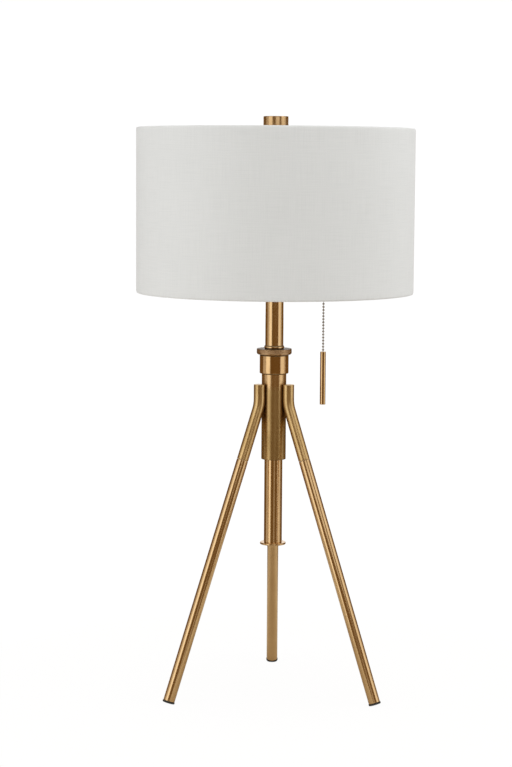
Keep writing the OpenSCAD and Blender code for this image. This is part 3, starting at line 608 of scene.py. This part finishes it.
def makeLockRing():
    # Knurling: r = R - depth (1 - ridge), where ridge is the product of two waves that cross,
    # (1 + cos(N t + k z)) / 2 and (1 + cos(N t - k z)) / 2, and fades out at both edges
    k = lockRing
    b = k["bevel"]
    plain = rounded([(k["radius"], k["z0"] + b), (k["radius"] - b, k["z0"]),
                     (k["bore"], k["z0"]), (k["bore"], k["z1"]), (k["radius"], k["z1"])],
                    [eased] * 4 + [k["edge"]])
    band = np.linspace(k["z1"] - k["topRow"], k["z0"] + b + k["plainRim"], k["rows"])
    profile = np.concatenate([plain, np.stack([0 * band + k["radius"], band], 1)])
    grid = spun(profile, k["diamonds"] * k["perDiamond"])
    angle = np.arctan2(grid[..., 1], grid[..., 0])
    wave = 2 * np.pi * grid[..., 2] / k["pitch"]
    ridge = (1 + np.cos(k["diamonds"] * angle + wave)) * (
        1 + np.cos(k["diamonds"] * angle - wave)) / 4
    inside = np.minimum(grid[..., 2] - k["z0"] - b, k["z1"] - grid[..., 2])
    fade = np.clip((inside - k["plainRim"]) / k["fadeIn"], 0, 1)
    onRim = np.hypot(grid[..., 0], grid[..., 1]) > k["radius"] - 1e-6
    cut = np.where(onRim, k["depth"] * (1 - ridge) * fade, 0) / k["radius"]
    grid[..., :2] *= (1 - cut)[..., None]
    standIn("lock_ring", [grid], ringBrass)


collet = {"slide": 12.56, "wedge": 16.36, "sleeve": 15.06, "groove": 13.475, "lip": 13.9,
          "z0": 459.9, "wedgeTop": 460.9, "coneTop": 465.9, "ringTop": 481.7, "lipZ": 482.7,
          "lipWall": 483.1, "crest": 484.9, "top": 486.3, "mouth": 0.35, "lipEdge": 0.5,
          "slit": 1.2, "slitTop": 473.7, "lap": 0.2}
# Painted shade at the ring's top and where the lip meets the column; the lip's crest is polished
# and painted lighter as a highlight
sleeveBrass = metalFinish("sleeve brass", turnedLook,
                          bands=[(collet["ringTop"] + 0.4, 0.9, creviceShade),
                                 (collet["top"], 1.3, creviceShade),
                                 (collet["crest"] - 0.9, 1.1, polishAndHighlight)])


def quarter(profile, slit, start, steps=17):
    # A quarter of a spun ring between two sawn slits: the angle at radius r runs from
    # asin(slit / 2r) to a right angle less as much; both ends close on the profile's middle
    r, z = profile[:, :1], profile[:, 1:]
    edge = np.arcsin(slit / 2 / r)
    share = np.linspace(0, 1, steps)
    angle = edge + (np.pi / 2 - 2 * edge) * share + math.radians(start)
    wall = np.stack(np.broadcast_arrays(r * np.cos(angle), r * np.sin(angle), z), -1)
    ends = np.broadcast_to(wall.mean(0, keepdims=True)[:, [0, -1]], (len(r), 2, 3))
    return np.concatenate([ends[:, :1], wall, ends[:, 1:]], 1).transpose(1, 0, 2)


def makeCollet():
    # The split sleeve that the lock ring pulls tight, with a rounded lip on top: four jaws
    # below, which reach a little way into the whole sleeve above them
    c = collet
    lower = rounded([(c["slide"], c["z0"]), (c["wedge"], c["z0"]), (c["wedge"], c["wedgeTop"]),
                     (c["sleeve"], c["coneTop"]), (c["sleeve"], c["slitTop"] + c["lap"]),
                     (c["slide"], c["slitTop"] + c["lap"])], filed)
    upper = rounded([(c["slide"], c["slitTop"]), (c["sleeve"], c["slitTop"]),
                     (c["sleeve"], c["ringTop"]), (c["groove"], c["ringTop"]),
                     (c["groove"], c["lipZ"]), (c["lip"], c["lipWall"]),
                     (c["lip"], c["crest"]), (c["slide"] + c["mouth"], c["top"]),
                     (c["slide"], c["top"])],
                    [deburred, deburred, filed, deburred / 2, deburred / 2, c["lipEdge"],
                     c["lipEdge"], eased, deburred])
    jaws = [quarter(lower, c["slit"], start) for start in (0, 90, 180, 270)]
    standIn("collet", [spun(upper, 144)] + jaws, sleeveBrass)


makeCollar()
makeCollet()
makeLegs()
makeLockRing()
print("stand made")


column = {"radius": 12.5, "bore": 11.3, "z0": 211.0, "z1": 562.9, "edge": 0.3}
flange = {"radius": 17.9, "hole": 6.45, "z0": 208.1, "plug": 11.25, "plugZ": 220.0,
          "edge": 1.44, "holeEdge": 0.4}
bushing = {"outer": 6.4, "bore": 3.4, "z1": 217.1, "edge": 1.2}
riser = {"radius": 4.85, "bore": 3.0, "z0": 544.9, "z1": 792.4, "pitch": 0.94, "depth": 0.42,
         "rowsPerTurn": 6, "around": 24}
nut = {"across": 14.0, "thick": 4.0, "bore": 4.9, "coneOut": 0.1, "coneSlope": 1.9,
       "heights": (570.9, 593.9, 761.9), "onArm": 40.8}
arms = {"cross": 575.9, "lean": 45, "socket": 44.8}


def makeColumn():
    # The sliding tube, its end flange with a broad round edge, and the bushing in the flange
    c, f, b = column, flange, bushing
    tube = rounded([(c["bore"], c["z0"]), (c["radius"], c["z0"]), (c["radius"], c["z1"]),
                    (c["bore"], c["z1"])], c["edge"])
    standIn("column_tube", [spun(tube, 128)])
    rim = rounded([(f["hole"], f["z0"]), (f["radius"], f["z0"]), (f["radius"], c["z0"]),
                   (f["plug"], c["z0"]), (f["plug"], f["plugZ"]), (f["hole"], f["plugZ"])],
                  [f["holeEdge"], f["edge"], f["edge"], deburred, eased, eased], steps=9)
    standIn("end_flange", [spun(rim, 128)], turnedBrass)
    sleeve = rounded([(b["bore"], f["z0"]), (b["outer"], f["z0"]), (b["outer"], b["z1"]),
                      (b["bore"], b["z1"])], [b["edge"], eased, eased, b["edge"]])
    standIn("cord_bushing", [spun(sleeve, 64)])


def makeRiser():
    # A thread: r = R - depth w, where w rises from 0 at the crest to 1 at the root, a triangle
    # of z / pitch - t / 2 pi. The bore is plain
    p = riser
    turns = (p["z1"] - p["z0"]) / p["pitch"]
    z = np.linspace(p["z0"], p["z1"], int(turns * p["rowsPerTurn"]))
    outside = spun(np.stack([0 * z + p["radius"], z], 1), p["around"])
    angle = np.arctan2(outside[..., 1], outside[..., 0])
    phase = (outside[..., 2] / p["pitch"] - angle / (2 * np.pi)) % 1
    ends = np.clip(np.minimum(z - p["z0"], p["z1"] - z) / p["pitch"], 0, 1)[:, None]
    depth = p["depth"] * (abs(2 * phase - 1) * ends + 1 - ends)
    outside[..., :2] *= (1 - depth / p["radius"])[..., None]
    inside = spun(np.array([(p["bore"], p["z1"]), (p["bore"], p["z0"])]), p["around"])
    standIn("riser_pipe", [np.concatenate([outside, inside])], turnedBrass)


def hexNut(z0):
    # Six flats: r = half the width over cos of the angle from the nearest flat's middle, cut
    # back by a cone at both faces
    n = nut
    angle = np.linspace(0, 2 * np.pi, 72, endpoint=False)
    flat = n["across"] / 2 / np.cos(angle % (np.pi / 3) - np.pi / 6)
    rise = np.array([0, 0.12, 0.3, 0.5, 0.7, 0.88, 1]) * n["thick"]
    nearFace = np.minimum(rise, n["thick"] - rise)[:, None]
    cone = n["across"] / 2 + n["coneOut"] + n["coneSlope"] * nearFace
    outer = np.minimum(flat, cone)
    r = np.concatenate([outer, np.full((2, len(angle)), n["bore"])])
    z = np.concatenate([rise, [n["thick"], 0]])[:, None] + z0
    return np.stack(np.broadcast_arrays(r * np.cos(angle), r * np.sin(angle), z), -1)


def armFrame(side):
    # From an arm's own axes, with Z outwards from where the arms cross, to the lamp's
    return (Matrix.Translation((0, 0, arms["cross"]))
            @ Matrix.Rotation(math.radians(arms["lean"] * side), 4, "Y"))


def makeNuts():
    brass = brassOnSolid["bright_brass"]
    standIn("riser_nuts", [hexNut(z) for z in nut["heights"]], brass)
    standIn("arm_nuts", [placed(hexNut(nut["onArm"]), armFrame(side)) for side in (-1, 1)], brass)


bulb = {"ball": 30.0, "centre": 115.7, "neck": 13.1, "neckZ": 58.35, "wall": 0.8,
        "joinAngle": -38, "leaveNeck": 13.0, "meetBall": 17.0, "threadR": 13.1, "pitch": 3.6,
        "depth": 0.9, "runOut": 1.5, "contact": 3.0, "bevelOut": 0.4, "bevelUp": 0.6,
        "waist": 1.4, "rim": 0.3, "tip": 37.7, "shoulder": 42.2, "baseTop": 58.3}
socketCap = {"outer": 16.7, "inner": 16.1, "tall": 15.0, "neck": 4.9, "sheet": 1.2, "wall": 8.1,
             "crown": [(9.2, 0), (13.7, 1.65), (16.0, 4.5)], "bend": 1.2, "shoulder": 1.0,
             "underCrown": [(15.4, 5.7), (13.2, 2.85), (8.9, 1.2)]}
capBrass = metalFinish("socket cap brass", {**satinLook, "grain": brushedRound, "rough": 0.24})


def globeProfile(ball, neck, neckZ):
    # From the neck the glass swells on a smooth curve into the ball: the neck's line leaves
    # upright and meets the ball's tangent, as a cubic between the two
    lift = math.radians(bulb["joinAngle"])
    join = np.array([ball * math.cos(lift), bulb["centre"] + ball * math.sin(lift)])
    ahead = np.array([-math.sin(lift), math.cos(lift)]) * bulb["meetBall"]
    start, leave = np.array([neck, neckZ]), np.array([0, bulb["leaveNeck"]])
    s = np.linspace(0, 1, 16)[:, None]
    throat = ((1 - s) ** 3 * start + 3 * s * (1 - s) ** 2 * (start + leave)
              + 3 * s ** 2 * (1 - s) * (join - ahead) + s ** 3 * join)
    angle = np.linspace(lift, np.pi / 2, 28)[1:, None]
    crown = np.concatenate([ball * np.cos(angle), bulb["centre"] + ball * np.sin(angle)], 1)
    return np.concatenate([throat, crown])


def makeBulbs():
    # A hollow globe, a base whose thread is a cosine of z / pitch - t / 2 pi that runs out at
    # both ends, and a pressed cap over the back of the socket, each spun and set on its arm
    b, c = bulb, socketCap
    outer = globeProfile(b["ball"], b["neck"], b["neckZ"])
    inner = globeProfile(b["ball"] - b["wall"], b["neck"] - b["wall"], b["neckZ"])
    glass = np.concatenate([outer, inner[::-1]])
    z = np.linspace(b["shoulder"], b["baseTop"] - b["bevelOut"], 60)
    screw = np.concatenate([[(0, b["tip"]), (b["contact"], b["tip"]),
                             (b["contact"] + b["bevelOut"], b["tip"] + b["bevelUp"]),
                             (b["threadR"] - b["waist"], b["shoulder"] - b["bevelOut"])],
                            np.stack([0 * z + b["threadR"], z], 1),
                            [(b["threadR"] - b["rim"], b["baseTop"]), (0, b["baseTop"])]])
    rows = spun(screw, 64)
    angle = np.arctan2(rows[..., 1], rows[..., 0])
    turned = np.cos(2 * np.pi * (rows[..., 2] / b["pitch"] - angle / (2 * np.pi)))
    middle = np.zeros(len(screw))
    middle[4:-2] = np.clip(np.minimum(z - z[0], z[-1] - z) / b["runOut"], 0, 1)
    dip = b["depth"] / 2 * (1 - turned) * middle[:, None] / b["threadR"]
    rows[..., :2] *= (1 - dip)[..., None]
    bends = [c["bend"]] * 2 + [c["shoulder"]] * 2
    dome = rounded([(c["neck"], 0), *c["crown"], (c["outer"], c["wall"]),
                    (c["outer"], c["tall"]), (c["inner"], c["tall"]), (c["inner"], c["wall"]),
                    *c["underCrown"], (c["neck"], c["sheet"])],
                   [filed, *bends, filed, filed, *bends[::-1], filed])
    for name, side in (("left", -1), ("right", 1)):
        socket = armFrame(side) @ Matrix.Translation((0, 0, arms["socket"]))
        standIn("bulb_globe_" + name, [placed(spun(glass, 96), socket)])
        standIn("bulb_base_" + name, [placed(rows, socket)], wrapRows=False)
        standIn("socket_cap_" + name, [placed(spun(dome, 96), socket)], capBrass)


makeColumn()
makeRiser()
makeNuts()
makeBulbs()
print("column, sockets and bulbs made")


chain = {"x": 67.412, "bead": 1.6, "wire": 0.45, "pitch": 4.23, "beads": 29, "hook": 476.273,
         "pivot": 598.943, "gap": 0.15, "dimple": 0.12}
bar = {"radius": 3.9, "z0": 404.473, "z1": 477.973, "hole": 1.376, "cavity": 1.75, "edge": 0.5}
barBrass = metalFinish("bar brass", {**brightLook, "rough": 0.11, "cloudRough": 0.04,
                                     "lacquer": 0.15})


def bead(z):
    # A hollow ball pressed from strip: a sphere whose poles are drawn in a little
    lift = np.linspace(-np.pi / 2, np.pi / 2, 13)
    r, rise = chain["bead"] * np.cos(lift), chain["bead"] * np.sin(lift)
    rise = rise * (1 - chain["dimple"] * np.sin(lift) ** 8)
    return spun(np.stack([r, rise + z], 1), 20)


def wire(z0, z1):
    # The straight wire inside a stretch of beads
    return spun(np.array([(0, z0), (chain["wire"], z0), (chain["wire"], z1), (0, z1)]), 12)


def makeChain():
    # The chain in the three stretches that move on their own, and the bar: a spun bar with a
    # round hollow in its top, which holds the last bead
    c = chain
    sideways = Matrix.Translation((c["x"], 0, 0))
    free, above = c["bead"] + c["gap"], c["hook"] + (c["beads"] - 1) * c["pitch"]
    stretches = {
        "pull_chain": ([c["hook"] + k * c["pitch"] for k in range(1, c["beads"] - 1)],
                       c["hook"] + free, above - free),
        "chain_joint": ([above], above, above + c["pitch"] - free),
        "chain_top": ([c["pivot"] + k * c["pitch"] for k in range(3)], c["pivot"],
                      c["pivot"] + 2 * c["pitch"]),
    }
    for node, (beads, low, high) in stretches.items():
        grids = [bead(z) for z in beads] + [wire(low, high)]
        standIn(node, [placed(g, sideways) for g in grids], wrapRows=False)
    lift = np.linspace(math.asin(bar["hole"] / bar["cavity"]) - np.pi / 2, np.pi / 2, 12)
    hollow = np.stack([bar["cavity"] * np.cos(lift), c["hook"] - bar["cavity"] * np.sin(lift)], 1)
    outside = rounded([(0, bar["z0"]), (bar["radius"], bar["z0"]), (bar["radius"], bar["z1"]),
                       (bar["hole"], bar["z1"]), (bar["hole"], hollow[0, 1])],
                      [0, bar["edge"], bar["edge"], filed, 0], closed=False)
    standIn("pull_bar", [placed(spun(np.concatenate([outside, hollow[1:]]), 64), sideways)],
            barBrass, False)


makeChain()
print("chain and bar made")


shade = {"radius": 190.5, "z0": 558.9, "z1": 783.9, "cloth": 0.5, "rollR": 187.7,
         "rollUp": 2.4, "tuck": 4.6, "tuckR": 185.4, "seamAt": 90.0, "seamWide": 11.0,
         "seamHigh": 0.35, "guard": 8.0, "lead": 0.02}
spider = {"plate": 19.0, "hole": 4.91, "z0": 767.9, "z1": 769.9, "plateEdge": 0.8, "wire": 1.6,
          "from": 9.5, "post": 183.75, "bend": 9.0, "top": 782.6, "turns": (90, 210, 330)}
finial = {"radius": 17.25, "neck": 8.5, "bore": 4.91, "z0": 769.95, "seat": 783.9, "z1": 799.7,
          "thread": 792.7, "edge": 0.9, "underEdge": 0.4}
finialBrass = metalFinish("finial brass", {**turnedLook, "bright": rgb(0.68, 0.460, 0.225),
                                           "dark": rgb(0.56, 0.37, 0.16)})


def hem(top, sign, steps=17):
    # Half of the cloth's outline at one edge, from the outside over the wire and under it:
    # an ellipse over the wire, then a short tuck; inside it the same a cloth's thickness in
    s = shade
    sweep = np.linspace(0, np.pi, steps)
    wide, tall, cloth = s["radius"] - s["rollR"], s["rollUp"], s["cloth"]
    back = sweep[::-1]
    over = np.stack([s["rollR"] + wide * np.cos(sweep),
                     top - sign * tall * (1 - np.sin(sweep))], 1)
    under = np.stack([s["rollR"] + (wide - cloth) * np.cos(back),
                      top - sign * (tall - (tall - cloth) * np.sin(back))], 1)
    tuck = np.array([(s["tuckR"], top - sign * s["tuck"]),
                     (s["tuckR"] + cloth, top - sign * s["tuck"])])
    return np.concatenate([over, tuck, under])


def makeShade():
    # The drum is spun about the column, with its angles closer together at the seam, where
    # one end of the cloth lies over the other: a step outwards that runs out over a thumb's width
    s = shade
    low, high = s["z0"] + s["guard"], s["z1"] - s["guard"]
    outside = np.array([(s["radius"], low), (s["radius"], high)])
    inside = np.array([(s["radius"] - s["cloth"], high), (s["radius"] - s["cloth"], low)])
    profile = np.concatenate([outside, hem(s["z1"], 1), inside, hem(s["z0"], -1)[::-1]])
    across = s["seamWide"] / s["radius"]
    fine = np.concatenate([np.linspace(-s["lead"], 0, 4)[:-1], np.linspace(0, 1, 14) * across])
    coarse = np.linspace(across, 2 * np.pi - s["lead"], 250)[1:-1]
    turn = np.concatenate([fine, coarse])
    lift = s["seamHigh"] * np.where((turn > 0) & (turn <= across), 1 - turn / across, 0)
    lift[np.argmin(abs(turn))] = s["seamHigh"] * 0.5
    angle = turn + math.radians(s["seamAt"])
    onSeam = (profile[:, :1] > s["radius"] - 0.6 * s["cloth"]) & (lift > 0)
    r = profile[:, :1] + np.where(onSeam, lift, 0)
    grid = np.stack(np.broadcast_arrays(r * np.cos(angle), r * np.sin(angle),
                                        profile[:, 1:]), -1)
    standIn("shade_fabric", [grid])


def makeSpider():
    # Three wires lie on the plate, run out to the shade and turn up to its top ring
    p = spider
    plate = rounded([(p["hole"], p["z0"]), (p["plate"], p["z0"]), (p["plate"], p["z1"]),
                     (p["hole"], p["z1"])], [filed, p["plateEdge"], p["plateEdge"], filed])
    bend = np.linspace(0, np.pi / 2, 12)
    x = np.concatenate([[p["from"], p["from"], p["from"] + 0.4], p["post"] - p["bend"]
                        + p["bend"] * np.sin(bend), [p["post"]] * 2])
    z = np.concatenate([[p["z1"]] * 3, p["z1"] + p["bend"] * (1 - np.cos(bend)),
                        [p["top"]] * 2])
    path = np.stack([x, 0 * x, z], 1)
    lean = np.pi / 2 + np.concatenate([[0] * 3, bend, [np.pi / 2] * 2])
    reach = np.full(len(x), p["wire"])
    reach[[0, -1]] = 0
    arm = swept(path, reach, lean, 24)
    disc = np.concatenate([spun(plate, 72), spun(plate[:1], 72)])
    standIn("spider", [disc], wrapRows=False)
    for k, azimuth in enumerate(p["turns"]):
        turn = Matrix.Rotation(math.radians(azimuth), 4, "Z")
        addPiece("spiderArm%d" % (k + 1), [placed(arm, turn)], finishes["steel"], "shade",
                 wrapRows=False)


def makeFinial():
    # A flat knob whose hidden neck is bored for the riser's thread
    f = finial
    outline = rounded([(f["bore"], f["z0"]), (f["neck"], f["z0"]), (f["neck"], f["seat"]),
                       (f["radius"], f["seat"]), (f["radius"], f["z1"]), (0, f["z1"]),
                       (0, f["thread"]), (f["bore"], f["thread"])],
                      [filed, eased, f["underEdge"], f["edge"], f["edge"], 0, 0, deburred])
    standIn("finial", [spun(outline, 128)], finialBrass)


makeShade()
makeSpider()
makeFinial()
print("shade and finial made")
